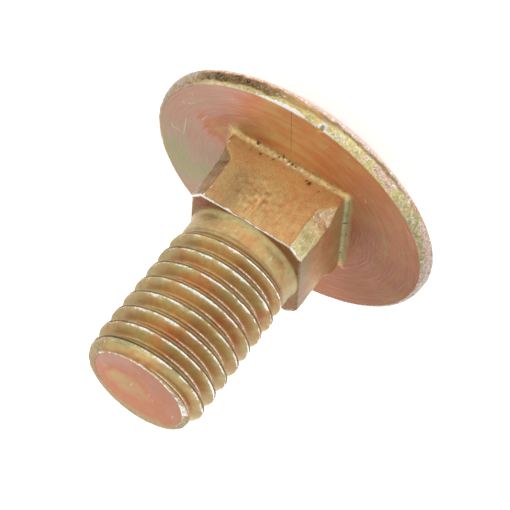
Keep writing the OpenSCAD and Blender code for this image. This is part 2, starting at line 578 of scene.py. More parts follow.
def flat_coat(angle, up, grains):
    """Film and tone on one of the four flats."""
    film, tone = FLAT_COATS[int(((math.degrees(angle) + 45) % 360) // 90)]
    film += 0.09 * grains(1.8, 7) + 0.08 * grains(0.6, 8)
    front = toward(angle, 0, 40)
    # The front flat is olive near its +Y edge and near the root, and dull in its middle.
    plus_y = step_up(4, 28, turn_from(angle, 0))
    near_root = step_up(2.2, 0.7, up)
    film = blend(film, 0.22, 0.8 * front * max(plus_y, 0.5 * near_root))
    # Near the root the front flat is painted lighter: painted light.
    tone *= 1 - 0.52 * front * plus_y * step_up(1.2, 3.6, up) + 0.12 * front * near_root
    rough_middle = bump_at(up, 3.6, 1.3) * toward(angle, 4, 22)
    film += 0.04 * rough_middle * grains(0.4, 18)
    tone *= 1 - rough_middle * (0.10 + 0.70 * grains(0.35, 17))
    tone *= 1 - 0.50 * step_up(3.2, 5.8, up) * within(angle, -90, 38, 44)
    # The half of the front flat beyond its middle is scored by the die.
    beyond = step_up(2.6, 5.0, up)
    scored = front * beyond * grain(angle, neck_half, up * 0.12, 0.15, 19)
    tone *= 1 + 0.26 * scored - 0.10 * front * beyond
    return film, tone


# %% Coat of the neck
def paint_neck(angle, radius, height):
    up = height - face_z
    grains = grain_at(angle, radius, height)
    film, tone = flat_coat(angle, up, grains)
    corner = corner_of(angle)
    facet_film, facet_tone, crease_wear, tip_wear = CORNER_COATS[corner]
    front_corner = corner == 3            # between the front flat and the one that faces -Y
    past_crease = square_radius(angle, flat_half(up)) - corner_envelope(angle, up)
    on_facet = step_up(-0.03, 0.03, past_crease)
    warm = front_corner * step_down(3.0, 3.8, up + 0.8 * grains(0.5, 40))
    facet_film = blend(facet_film + 0.10 * grain(angle, radius, 0.4 * height, 0.7, 5), 0.27, warm)
    facet_tone *= 1 + 0.25 * grain(angle, radius, 0.4 * height, 0.22, 6)
    film = blend(film, facet_film, on_facet)
    tone = blend(tone, facet_tone, on_facet)
    # Metal shows on the edge of the neck's end, on the creases and on the tips of the facets. The
    # crease lines are partly a painted highlight, and the top edge of the front facet's flare is a
    # painted highlight.
    ragged = 1 + 1.1 * grain(angle, radius, 0, 0.45, 31) + 0.6 * grain(angle, radius, 0, 0.2, 32)
    edge = 0.9 - 0.6 * within(angle, -90, 38, 44)
    edge *= bump_at(up, neck_h - 0.02, 0.065 * max(0.15, ragged))
    crease = bump_at(past_crease, 0.0, 0.030) * step_up(0.8, 1.0, up)
    crease = crease_wear * crease * (0.7 + grains(0.5, 37))
    flare_top_highlight = 0.60 * bump_at(past_crease, 0.01, 0.03) * bump_at(up, 1.4, 0.55) * front_corner
    tip = on_facet * step_up(4.9, 6.0, up + 0.7 * grains(0.4, 38))
    beads = 0.8 * step_up(0.0, 0.3, grains(0.35, 17)) * bump_at(up, 1.1, 0.5) * toward(angle, 45, 3.5)
    scales = step_up(0.05, 0.35, grain(angle, radius, 0.5 * height, 0.24, 39))
    pale = (0.40 + 0.10 * warm) * (on_facet * (0.72 + 0.28 * scales) * front_corner)
    smudge = 0.30 * (bump_at(up, 4.2, 0.35) * toward(angle, 14, 5))
    brightening = max(edge, crease, flare_top_highlight, beads, tip_wear * tip, pale, smudge)
    # Painted shade on the flat just beside the crease of the front corner; the pits are darker too.
    darkened = 0.30 * bump_at(past_crease, -0.05, 0.05) * step_up(1.6, 2.4, up) * front_corner
    pits = 0.9 * root_pit(angle, radius, up) if up < 1 else 0.0
    return film, tone, brightening, max(darkened, pits)


show_coat("front flat:", paint_neck(0, neck_half, face_z + 3))

# %% [markdown]
# ## Bearing face and neck
# The bearing face is flat, so it needs few rings: they only lead the outline from the round
# rim to the square neck. The neck root is a small fillet with pits, where the die lets go.

# %% Pits and cracks of the root
# Pits by the azimuth of their flat: place along the flat (mm), height, size (mm).
ROOT_PITS = {
    0: [(2.87, 0.05, 0.15), (3.14, 0.63, 0.09), (2.33, 0.54, 0.10), (1.76, 0.34, 0.08),
        (1.28, 0.40, 0.09), (0.98, 0.12, 0.10), (0.62, 0.02, 0.08), (0.09, 0.06, 0.09),
        (-0.20, 0.10, 0.13), (-0.53, 0.11, 0.10), (-1.80, 0.57, 0.10), (-2.08, 0.62, 0.17),
        (-3.05, 0.85, 0.07), (-3.94, 0.16, 0.08)],
    -90: [(2.36, 0.05, 0.08), (-3.05, 0.12, 0.10)],
    90: [(1.6, 0.1, 0.10), (-2.2, 0.2, 0.12)],
    180: [(0.8, 0.1, 0.12), (-2.6, 0.5, 0.10)],
}
# The root slopes outward, so it is longer along its surface than it is high.
ROOT_SLANT = math.hypot(root_w, root_h) / root_h
# Hairline cracks across the root: azimuth of the flat, and the place along it (mm).
ROOT_CRACKS = [(-90, 1.35), (-90, -0.35), (-90, -2.1)]


def up_the_surface(up):
    """Length along the root and the flat from the bearing face up to a height."""
    return ROOT_SLANT * min(up, root_h) + max(up - root_h, 0.0)


def root_pit(angle, radius, up):
    """0 to 1 inside the nearest pit of the neck root."""
    deep = 0.0
    for azimuth, pits in ROOT_PITS.items():
        turned = math.radians(turn_from(angle, azimuth))
        if abs(turned) > math.pi / 4:
            continue
        for along, height, size in pits:
            rise = up_the_surface(up) - up_the_surface(height)
            far = math.hypot(radius * math.sin(turned) - along, rise) / size
            deep = max(deep, step_down(0.5, 1.2, far))
    return deep


# %% Coat of the root
def paint_root(angle, radius, height):
    up = height - face_z
    lump = grain(angle, neck_half, 0.5 * height, 1.5, 12)
    minus_y = within(angle, -90, 38, 46)
    film = blend(0.22 + 0.40 * step_up(0.0, 0.5, lump), 0.10, minus_y)
    worms = grain(angle, radius, height, 0.20, 13)
    tone = 1.30 + 0.60 * worms * (1 - 0.8 * minus_y) - 0.54 * minus_y
    cracked = 0.0
    for azimuth, along in ROOT_CRACKS:
        turned = math.radians(turn_from(angle, azimuth))
        if abs(turned) < 0.7:
            line = bump_at(radius * math.sin(turned), along + 0.2 * worms, 0.05)
            cracked = max(cracked, 0.6 * line)
    # Painted shade in the corner at the foot of the root and along its top.
    darkened = 0.35 * bump_at(up, 0.0, 0.05) + 0.20 * bump_at(up, root_h, 0.04)
    pale = (0.20 + 0.34 * step_up(0.05, 0.3, worms)) * toward(angle, 0, 40)
    return film, tone, pale, min(1.0, max(0.95 * root_pit(angle, radius, up), cracked) + darkened)


show_coat("root, in front:", paint_root(0, neck_half, face_z + 0.1))

# %% Places on the face, the root and the neck
face_outer_r = rim_profile(1.0)[0] - 0.10


def face_place(angle, t):
    """A ring of the bearing face, from the rim (0) to the neck root (1)."""
    inner = square_radius(angle, flat_half(0.0, root_width(angle)))
    return blend(face_outer_r, inner, t), face_z


def root_place(angle, t):
    """A ring of the root, from the bearing face (0) to the flats (1)."""
    up = root_h * t
    radius = square_radius(angle, flat_half(up, root_width(angle)))
    hollow = 0.09 * root_pit(angle, radius, up) * math.sin(math.pi * min(1.0, t + 0.2))
    rough = 0.040 * (1 - 0.8 * within(angle, -90, 38, 46))
    lumps = rough * max(0.0, grain(angle, radius, up, 0.28, 15)) * math.sin(math.pi * t)
    return radius - hollow - lumps, face_z + up


def neck_place(angle, up):
    """A ring of the neck at a height above the bearing face."""
    radius = neck_radius(angle, up)
    nick = 0.07 * bump_at(up, neck_h, 0.25) * max(0.0, grain(angle, radius, 0, 0.45, 33))
    dull = 0.012 * grain(angle, radius, up, 0.8, 35) + 0.010 * grain(angle, radius, up, 0.3, 36)
    hollow = 0.08 * root_pit(angle, radius, up)
    return radius - nick - hollow - max(0.0, dull + 0.008), face_z + up


def neck_end_place(angle, t):
    """A ring of the neck's end, from its outline (0) to the ring at the root of the shank (1)."""
    outline = neck_radius(angle, neck_h) - 0.02
    return blend(outline, shank_r + ring_w, t), neck_z


def paint_neck_end(angle, radius, height):
    grains = grain_at(angle, radius, height)
    film = 0.36 + 0.15 * grains(1.2, 41)
    tone = 0.64 + 0.10 * grains(0.5, 42)
    return film, tone, 0.0, 0.10


# %% Build the face, the root and the neck
FACE_POINTS, NECK_POINTS = 256, 512
FACE_ROWS, ROOT_ROWS, NECK_ROWS, NECK_END_ROWS = 11, 5, 38, 4
face_rings = [rim_rings[-1]]
face_rings += [ring(FACE_POINTS, face_place, k / FACE_ROWS, paint_face) for k in range(FACE_ROWS)]
build_rings(face_rings, FACE)
root_rings = [ring(NECK_POINTS, root_place, k / ROOT_ROWS, paint_root) for k in range(ROOT_ROWS + 1)]
join(face_rings[-1], root_rings[0], FACE)
build_rings(root_rings, ROOT)
neck_heights = [blend(root_h, neck_h, (k + 1) / NECK_ROWS) for k in range(NECK_ROWS - 1)]
neck_heights += [neck_h - 0.12, neck_h - 0.07, neck_h - 0.03, neck_h]
neck_rings = [root_rings[-1]]
neck_rings += [ring(NECK_POINTS, neck_place, up, paint_neck) for up in sorted(neck_heights)]
build_rings(neck_rings, NECK)
end_rings = [neck_rings[-1]]
for k in range(NECK_END_ROWS):
    end_rings.append(ring(FACE_POINTS, neck_end_place, (k + 1) / NECK_END_ROWS, paint_neck_end))
build_rings(end_rings, NECK)
print("neck done:", len(points), "points,", len(faces), "faces")

# %% [markdown]
# ## The shank and the rolled thread
# Rolling dies push the metal up from both sides of each ridge, so a crest shows two fine lips
# with a seam between them. The rows of the mesh run along the helix, which keeps each lip on
# its own row of points: a row that goes once round ends one pitch higher.

# %% Section of the thread
# offset from the middle of the crest (mm), radius (mm)
SECTION = [
    (-0.75, 4.08), (-0.68, 4.085), (-0.62, 4.12), (-0.50, 4.32), (-0.36, 4.555), (-0.24, 4.76),
    (-0.205, 4.83), (-0.17, 4.875), (-0.13, 4.885), (-0.095, 4.86), (-0.05, 4.80), (-0.01, 4.815),
    (0.04, 4.89), (0.10, 4.90), (0.155, 4.885), (0.195, 4.84), (0.24, 4.75), (0.36, 4.555),
    (0.50, 4.32), (0.62, 4.12), (0.68, 4.085),
]
ROWS_A_TURN = len(SECTION)
rod_lo = thread_z - 0.2
rod_hi = end_z - 0.68
fade_h = 1.4


def section_radius(offset):
    """Radius of the thread at an offset from the crest, straight between the section's points."""
    offset = (offset + pitch / 2) % pitch - pitch / 2
    ends = SECTION + [(SECTION[0][0] + pitch, SECTION[0][1])]
    for (x0, r0), (x1, r1) in zip(ends, ends[1:]):
        if x0 <= offset <= x1:
            return blend(r0, r1, (offset - x0) / (x1 - x0))
    return valley_r


def crest_offset(angle, height):
    """Distance along the axis from the nearest crest, between -pitch/2 and pitch/2."""
    rise = height - face_z - crest_at - pitch * angle / (2 * math.pi)
    return (rise + pitch / 2) % pitch - pitch / 2


def faded(height, radius):
    fade = max(0.0, min(1.0, (height - rod_lo) / fade_h))
    return shank_r + (radius - shank_r) * fade


# %% Knocks, point and radius of the thread
def crest_nicks(angle, height, radius):
    """Small dents on the crests, where bolts knock together in the box."""
    high = step_up(4.72, 4.88, radius)
    knock = step_up(0.28, 0.60, grain(angle, crest_r, height, 0.5, 51))
    flutter = 0.5 + 0.5 * grain(angle, crest_r, height, 0.22, 52)
    return high * (0.070 * knock + 0.030 * flutter)


# Outline of the point: distance below the end (mm), radius (mm).
END_SHOULDER = [
    (0.0, end_r), (0.035, 4.12), (0.10, 4.38), (0.20, 4.56), (0.34, 4.72), (0.50, 4.86), (1.6, 5.3),
]
# The cut pressed the end out on one side (azimuth) and drew it in on the two sides beside it.
FULL_SIDE, DRAWN_SIDES = 163, (66, -108)


def point_envelope(down, angle):
    """Largest radius the cut end leaves, at a distance below the end."""
    if down >= END_SHOULDER[-1][0]:
        return 9.9
    full = toward(angle, FULL_SIDE, 50) * step_down(0.10, 0.60, down)
    drawn = toward(angle, DRAWN_SIDES[0], 28)
    drawn += toward(angle, DRAWN_SIDES[1], 22) * step_down(0.3, 0.6, down)
    for (d0, r0), (d1, r1) in zip(END_SHOULDER, END_SHOULDER[1:]):
        if down <= d1:
            radius = blend(r0, r1, (down - d0) / (d1 - d0))
            break
    return radius + 0.60 * full - 0.28 * drawn * step_up(0.0, 0.15, down)


def thread_radius(angle, height, offset):
    radius = faded(height, section_radius(offset))
    flank = 0.010 * grain(angle, radius, height, 0.7, 55)
    radius -= crest_nicks(angle, height, radius) + max(0.0, flank + 0.004)
    ragged = 0.05 * grain(angle, end_r, height, 0.5, 81)
    ragged += 0.04 * grain(angle, end_r, height, 0.22, 82)
    return smooth_min(radius, point_envelope(end_z - height, angle) + ragged, 0.03)


print("thread depth (mm):", round(section_radius(0.1) - section_radius(0.75), 3))

# %% Coat of the thread
def lip_wear_and_highlight(angle, height, offset, brown_and_shaded):
    """Bright metal on the two lips of a crest, worn and partly a painted highlight, and where bolts
    knocked together.
    """
    crest_grains = grain_at(angle, crest_r, height)
    drawn_out = 0.6 * crest_r
    ragged = 1 + 0.85 * grain(angle, drawn_out, height, 0.55, 64)
    ragged += 0.5 * grain(angle, drawn_out, height, 0.22, 65)
    wide = step_up(-0.1, 0.5, crest_grains(1.3, 68))
    width = (0.075 + 0.065 * wide) * max(0.3, ragged) * (1 - 0.40 * brown_and_shaded)
    strength = (0.72 + 0.16 * brown_and_shaded) * min(1.15, max(0.40, ragged))
    knocked = 0.5 * step_up(0.20, 0.45, crest_grains(0.6, 51)) * bump_at(offset, 0.06, 0.12)
    second_lip = bump_at(offset, -0.165, 0.055)
    brightening = max(strength * bump_at(offset, 0.13, width), knocked, 0.36 * second_lip)
    return brightening, wide, second_lip


def paint_thread(angle, radius, height):
    az = turn_from(angle, 0)
    offset = crest_offset(angle, height)
    past_crest = (offset + pitch) % pitch
    grains = grain_at(angle, radius, height)
    ready = step_up(0.12, 0.60, (height - rod_lo) / fade_h)
    # Toward -Y the flanks have a browner film and are painted darker: painted shade.
    brown_and_shaded = step_down(-26, 0, az) * step_up(-125, -95, az)
    lips, wide, second_lip = lip_wear_and_highlight(angle, height, offset, brown_and_shaded)
    deep = step_down(4.15, 4.50, radius)
    high = step_up(4.30, 4.72, radius)
    crest = bump_at(offset, -0.02, 0.10)
    head_side = step_up(-0.10, -0.20, offset) * high
    # The film is gold on the flanks, olive in patches near the crest and warmer in the root.
    patch = grain(angle, 4.5, height, 2.4, 61)
    film = 0.235 + 0.12 * patch + 0.12 * grains(0.7, 62)
    olive = high * max(0.0, min(1.0, 0.40 + 1.5 * grain(angle, 4.5, height, 1.6, 63)))
    olive *= 1 - 0.8 * step_up(28, 48, az) - 0.6 * brown_and_shaded
    film = blend(film, 0.08, olive)
    film = blend(film, 0.31 + 0.04 * brown_and_shaded + 0.1 * patch, 0.7 * deep)
    film = blend(film, 0.28, max(0.8 * crest, head_side))
    # The tone holds painted light: a lighter band on the flank toward the end, a painted highlight just
    # past the crest, and painted shade over the root and the flank that faces the head.
    tone = 1.06 + 0.18 * grains(0.35, 66) - 0.22 * crest
    tone += 0.24 * bump_at(offset, 0.50, 0.15) - 0.20 * step_up(0.64, 0.70, past_crest)
    tone += 0.10 * second_lip + (0.16 + 0.30 * wide) * bump_at(offset, 0.22, 0.09)
    # Toward +Y the coat is duller, and so is the last crest in front.
    dull = 0.32 * step_up(12, 48, az) * step_down(90, 120, az)
    dull = max(dull, 0.28 * step_up(end_z - 1.7, end_z - 1.1, height) * toward(angle, 26, 24))
    tone *= 1 - dull
    tone *= (1 - 0.24 * brown_and_shaded) * (1 - 0.05 * head_side)
    # On the brown side the root carries a painted reflection: a pale band of bare zinc.
    root_reflection = brown_and_shaded * bump_at(past_crest, 0.78, 0.08)
    tone += 0.4 * root_reflection
    brightening = ready * lips
    brightening *= 1 - 1.5 * dull
    brightening = max(brightening, ready * max(0.22 * crest, 0.30 * head_side, 0.60 * root_reflection))
    # Dirt lies in the seam of the crest and in the knocks on its top.
    seam = ready * bump_at(offset, -0.05, 0.035)
    marks = step_up(0.15, 0.50, grain(angle, crest_r, height, 0.35, 67))
    front = toward(angle, 24, 26)
    knocks = ready * marks * (0.40 + 0.40 * front) * bump_at(offset, 0.03, 0.06)
    last_crest = step_up(end_z - 2.2, end_z - 1.2, height)
    knocks += 0.55 * front * last_crest * bump_at(offset, -0.02, 0.11)
    return film, tone, brightening, 0.40 * seam + knocks


show_coat("thread, in front:", paint_thread(0, 4.5, end_z - 4))

# %% Coat of the shank
def paint_shank(angle, radius, height):
    up = height - neck_z
    grains = grain_at(angle, radius, height)
    film = 0.18 + 0.10 * grains(1.8, 71) + 0.08 * grains(0.6, 72)
    film = blend(film, 0.34, 0.8 * step_up(0.0, 0.40, grains(1.3, 79)))
    ring_band = bump_at(up, 0.22, 0.11) * (0.85 + 0.8 * grains(0.5, 73))
    film = blend(film, 0.08, min(1.0, ring_band))
    # The shank is painted lighter toward azimuth -14, the side that faces the camera, and darker round
    # its sides: painted light and shade.
    side = 1 - 0.26 * step_up(15, 50, abs(turn_from(angle, -14)))
    tone = side * (0.98 + 0.14 * grains(0.3, 74) + 0.28 * ring_band)
    # Painted shade where the shank meets the neck's end, and darker patches from noise.
    darkened = 0.30 * bump_at(up, 0.0, 0.05) + 0.10 * step_up(0.1, 0.4, grains(0.4, 76))
    # Painted glints: bright specks round the middle of the shank, more of them in two clusters.
    painted_glint = step_up(0.15, 0.40, grains(0.28, 75)) * bump_at(up, 1.0, 0.45)
    glint_cluster = max(toward(angle, 12, 16), toward(angle, -30, 12))
    return film, tone, 0.44 * painted_glint * glint_cluster + 0.24 * painted_glint, darkened


show_coat("shank, in front:", paint_shank(0, shank_r, neck_z + 0.8))

# %% Build the shank
THREAD_POINTS = 256
SHANK_HEIGHTS = [0.08, 0.18, 0.30, 0.42, 0.52, 0.70, 0.95, 1.2, 1.4]


def shank_place(angle, up):
    flare = ring_w * max(0.0, 1 - up / ring_h) ** 1.6
    dull = 0.012 * grain(angle, shank_r, up, 0.9, 77)
    return shank_r + flare - max(0.0, dull), neck_z + up


def level_place(angle, height):
    """A level ring on the thread."""
    return thread_radius(angle, height, crest_offset(angle, height)), height


shank_rings = [end_rings[-1]]
shank_rings += [ring(THREAD_POINTS, shank_place, up, paint_shank) for up in SHANK_HEIGHTS]
rod_start = ring(THREAD_POINTS, lambda angle, height: (shank_r, height), rod_lo, paint_shank)
build_rings(shank_rings + [rod_start], SHANK)
print("shank done:", len(points), "points")

# %% [markdown]
# ## The point
# The end of the blank was sheared off a little askew, fuller on one side and drawn in on two,
# and pressed to a rounded shoulder. A helix cannot end level, so the last rows are level rings,
# and each of their points takes, softly, the smaller of the thread and the shoulder.

# %% Coat of the point
def wide_end_wear(angle):
    """The edge of the end is worn widest on one side."""
    return toward(angle, -76, 20)


def end_edge_wear_and_highlight(angle):
    ragged = 0.8 + 0.6 * grain(angle, end_r, 0, 0.5, 83)
    # The edge is painted brighter on the side that faces the camera: partly a painted highlight.
    facing = 0.35 + 0.65 * step_up(-0.3, 0.4, math.cos(angle - math.radians(-25)))
    return min(1.0, ragged * facing + 0.3 * wide_end_wear(angle))


def paint_point(angle, radius, height):
    film, tone, brightening, darkening = paint_thread(angle, radius, height)
    down = end_z - height
    grains = grain_at(angle, radius, height)
    worn = 0.72 * end_edge_wear_and_highlight(angle) * bump_at(down, 0.0, 0.04 + 0.14 * wide_end_wear(angle))
    gap = point_envelope(down, angle) - faded(height, section_radius(crest_offset(angle, height)))
    cut = step_down(0.0, 0.10, gap)
    torn = step_up(0.0, 0.35, grains(0.35, 84))
    film = blend(film, 0.20 + 0.08 * torn, cut)
    torn_tone = 0.25 * grains(0.25, 86)
    # Toward the front the torn cut is painted lighter with bright flecks: partly a painted highlight.
    tone = blend(tone, 0.72 + 0.45 * toward(angle, 4, 26) + torn_tone, cut)
    brightening = blend(brightening, 0.20 + 0.40 * torn * toward(angle, 10, 50), cut)
    return film, tone, max(brightening, worn), darkening * (1 - cut)


show_coat("point, in front:", paint_point(0, 4.3, end_z - 0.1))

# %% Coat of the end face
# azimuth, radius, reach (mm), film, tone
END_BLOOMS = [
    (60, 0.9, 1.1, 0.24, 0.96),
    (121, 1.2, 1.2, 0.26, 0.96),
    (107, 2.5, 1.0, 0.30, 1.06),
    (-110, 0.9, 1.0, 0.38, 0.96),
    (75, 3.5, 0.8, 0.66, 0.98),
    (110, 3.9, 0.7, 0.70, 0.94),
    (34, 3.0, 1.2, 0.64, 0.94),
    (170, 1.6, 1.2, 0.46, 0.96),
    (-60, 2.4, 2.2, 0.53, 0.84),
    (-111, 3.3, 1.6, 0.50, 0.88),
    (-150, 2.4, 1.2, 0.42, 0.92),
    (-170, 3.2, 1.0, 0.46, 0.94),
    (140, 3.2, 1.0, 0.52, 0.96),
]


def paint_end(angle, radius, height):
    grains = grain_at(angle, radius, 0)
    film, tone = bloom_mix(END_BLOOMS, radius * math.cos(angle), radius * math.sin(angle))
    film += 0.06 * grains(0.8, 85) + 0.05 * grains(0.3, 86)
    green_rim = step_up(3.45, 3.95, radius) * toward(angle, 172, 36)
    film = blend(film, 0.16, green_rim)
    tone *= 0.95 + 0.14 * bump_at(film, 0.45, 0.09) + 0.05 * grains(0.25, 87)
    brightening = 0.75 * end_edge_wear_and_highlight(angle) * bump_at(radius, end_r, 0.04 + 0.05 * wide_end_wear(angle))
    return film, tone, brightening, 0.0


show_coat("end, half way out:", paint_end(0, 2, end_z))

# %% Build the point
POINT_ROWS = 17
point_rows = [blend(rod_hi, end_z, k / POINT_ROWS) for k in range(POINT_ROWS + 1)]
point_rings = [ring(THREAD_POINTS, level_place, height, paint_point) for height in point_rows]
build_rings(point_rings, THREAD)
print("point:", len(point_rings), "level rings")


# %% Wind the helix between the shank and the point
def wind_thread(start, stop):
    """Rows along the helix, clamped to the level rings start and stop."""
    n = THREAD_POINTS
    first = math.floor((rod_lo - face_z - crest_at) / pitch) - 2
    count = (math.ceil((rod_hi - rod_lo) / pitch) + 4) * ROWS_A_TURN
    base = face_z + crest_at + pitch * first
    grid = []
    for i in range(n):
        angle = 2 * math.pi * i / n
        column = []
        for k in range(count):
            offset = SECTION[k % ROWS_A_TURN][0]
            height = base + pitch * (i / n + k // ROWS_A_TURN) + offset
            if height <= rod_lo + 0.01:
                column.append(start[i])
            elif height >= rod_hi - 0.01:
                column.append(stop[i])
            else:
                radius = thread_radius(angle, height, offset)
                coat = paint_thread(angle, radius, height)
                column.append(add_point(angle, radius, height, coat))
        grid.append(column)
    for i in range(n):
        for k in range(count - 1):
            if i + 1 < n:
                far = grid[i + 1][k], grid[i + 1][k + 1]
            elif k + 1 + ROWS_A_TURN < count:
                far = grid[0][k + ROWS_A_TURN], grid[0][k + 1 + ROWS_A_TURN]
            else:
                continue
            add_face([grid[i][k], far[0], far[1], grid[i][k + 1]], THREAD)


wind_thread(rod_start, point_rings[0])
print("thread wound:", len(points), "points")

# %% Build the end face
# number of points, radius (mm)
END_RINGS = [(256, 3.75), (256, 3.45), (192, 2.9), (128, 2.2), (96, 1.5), (48, 0.8)]
end_face_rings = [point_rings[-1]]
for count, radius in END_RINGS:
    end_face_rings.append(ring(count, lambda angle, r: (r, end_z), radius, paint_end))
build_rings(end_face_rings, END)
last = end_face_rings[-1]
tip = add_point(0, 0, end_z, paint_end(0, 0, end_z))
for k, inner in enumerate(last):
    add_face([inner, last[(k + 1) % len(last)], tip], END)
print("skin:", len(points), "points,", len(faces), "faces")

# %% [markdown]
# ## From lists to one closed mesh
# The points go to metres, the faces are shaded smooth, and the coat is stored as four point
# attributes, which the materials read by name. A closed mesh has every edge in two faces, and
# the cell counts them.

# %% Make the skin
def make_skin():
    mesh = bpy.data.meshes.new("screw_skin")
    mesh.from_pydata([(x * MM, y * MM, z * MM) for x, y, z in points], [], faces)
    mesh.polygons.foreach_set("use_smooth", [True] * len(faces))
    mesh.polygons.foreach_set("material_index", zones)
    # Of the four values the third holds wear and painted highlights, the fourth dirt, painted shade and
    # a painted dark reflection.
    for slot, name in enumerate(("film", "tone", "brightening", "darkening")):
        layer = mesh.attributes.new(name, "FLOAT", "POINT")
        layer.data.foreach_set("value", [coat[slot] for coat in coats])
    mesh.update()
    skin = bpy.data.objects.new("screw_skin", mesh)
    bpy.context.scene.collection.objects.link(skin)
    return skin


skin = make_skin()
edge_use = {}
for face in faces:
    for k, corner in enumerate(face):
        edge = frozenset((corner, face[k - 1]))
        edge_use[edge] = edge_use.get(edge, 0) + 1
open_edges = sum(1 for used in edge_use.values() if used != 2)
triangles = sum(len(face) - 2 for face in faces)
print("triangles:", triangles, "edges not in two faces:", open_edges)

# %% [markdown]
# ## Helpers for shader nodes
# Colours are written as they look on a screen and turned into the linear values that the
# shader wants. Nodes could be added and linked one by one, but a helper for each kind keeps
# the node code short enough to read.

# %% Node helpers
def screen_colour(red, green, blue):
    def linear(v):
        v /= 255
        return v / 12.92 if v <= 0.04045 else ((v + 0.055) / 1.055) ** 2.4
    return linear(red), linear(green), linear(blue), 1.0


def new_group(name, inputs, outputs):
    """A shader node group with named float inputs and typed outputs."""
    group = bpy.data.node_groups.new(name, "ShaderNodeTree")
    for title, default in inputs:
        socket = group.interface.new_socket(title, in_out="INPUT", socket_type="NodeSocketFloat")
        socket.default_value = default
    for title, kind in outputs:
        group.interface.new_socket(title, in_out="OUTPUT", socket_type=kind)
    return group, group.nodes.new("NodeGroupInput"), group.nodes.new("NodeGroupOutput")


def feed(tree, socket, value):
    """Links a socket to another, or sets it to a plain value."""
    if isinstance(value, bpy.types.NodeSocket):
        tree.links.new(value, socket)
    else:
        socket.default_value = value


def add_node(tree, kind, output, inputs, **settings):
    """Adds a node with these settings and inputs, and gives one of its outputs."""
    node = tree.nodes.new("ShaderNode" + kind)
    for name, value in settings.items():
        setattr(node, name, value)
    for key, value in inputs.items():
        feed(tree, node.inputs[key], value)
    return node.outputs[output]


def maths(tree, operation, *values, clamp=False):
    inputs = dict(enumerate(values))
    return add_node(tree, "Math", "Value", inputs, operation=operation, use_clamp=clamp)


def times(tree, a, b, clamp=False):
    return maths(tree, "MULTIPLY", a, b, clamp=clamp)


def times_plus(tree, a, b, c, clamp=False):
    """a times b plus c"""
    return maths(tree, "MULTIPLY_ADD", a, b, c, clamp=clamp)


def minus(tree, a, b):
    return maths(tree, "SUBTRACT", a, b)


def mix_colour(tree, factor, a, b, kind="MIX"):
    return add_node(tree, "Mix", 2, {0: factor, 6: a, 7: b}, data_type="RGBA", blend_type=kind)


def mix_number(tree, factor, a, b):
    return add_node(tree, "Mix", 0, {0: factor, 2: a, 3: b}, data_type="FLOAT")


# %% Places, noise and steps in a shader
def object_place(tree):
    return add_node(tree, "TexCoord", "Object", {})


def split_place(tree):
    """The three coordinates of a place on the bolt, in metres."""
    node = tree.nodes.new("ShaderNodeSeparateXYZ")
    tree.links.new(object_place(tree), node.inputs[0])
    return node.outputs


def noise_at(tree, place, scale, detail=2.0, roughness=0.5):
    inputs = {"Vector": place, "Scale": scale, "Detail": detail, "Roughness": roughness}
    return add_node(tree, "TexNoise", "Fac", inputs)


def soft_step(tree, value, low, high):
    inputs = {"Value": value, "From Min": low, "From Max": high}
    return add_node(tree, "MapRange", "Result", inputs, interpolation_type="SMOOTHSTEP")


def ramp(tree, value, stops):
    node = tree.nodes.new("ShaderNodeValToRGB")
    elements = node.color_ramp.elements
    while len(elements) < len(stops):
        elements.new(0.5)
    for element, (position, colour) in zip(elements, stops):
        element.position = position
        element.color = colour
    tree.links.new(value, node.inputs["Fac"])
    return node.outputs["Color"]


# %% [markdown]
# ## The chromate film
# A yellow chromate film is far thinner than a hair, and its colour depends on its thickness,
# as on a soap bubble. A thin-film shader could work the colours out, but a ramp is quicker to
# match to a real bolt. The group takes the painted film, adds mottle, and looks its colour up
# in a ramp from olive through gold, orange and pink to green. Where the coat is worn and where a
# highlight is painted, it shows bright zinc with a broken edge, and dirt and painted shade darken
# it. All regions share this one group.

# %% Chromate film group
FILM_STOPS = [
    (0.00, screen_colour(150, 144, 88)),
    (0.12, screen_colour(194, 180, 122)),
    (0.26, screen_colour(200, 162, 106)),
    (0.44, screen_colour(194, 118, 74)),
    (0.62, screen_colour(200, 144, 120)),
    (0.80, screen_colour(186, 156, 130)),
    (1.00, screen_colour(164, 162, 110)),
]
# Metal that shows where the film is gone: polished, and dull.
ZINC = screen_colour(255, 252, 244)
DULL_ZINC = screen_colour(204, 194, 180)
# Colour of dirt and of painted shade.
DARKENING_COLOUR = screen_colour(72, 53, 28)
FILM_ROUGHNESS, METAL_ROUGHNESS, DARKENING_ROUGHNESS = 0.42, 0.30, 0.60
BREAKUP_SCALE = 5200.0


def centred(tree, value):
    """Moves noise round 0.5 to noise round 0."""
    return minus(tree, value, 0.5)


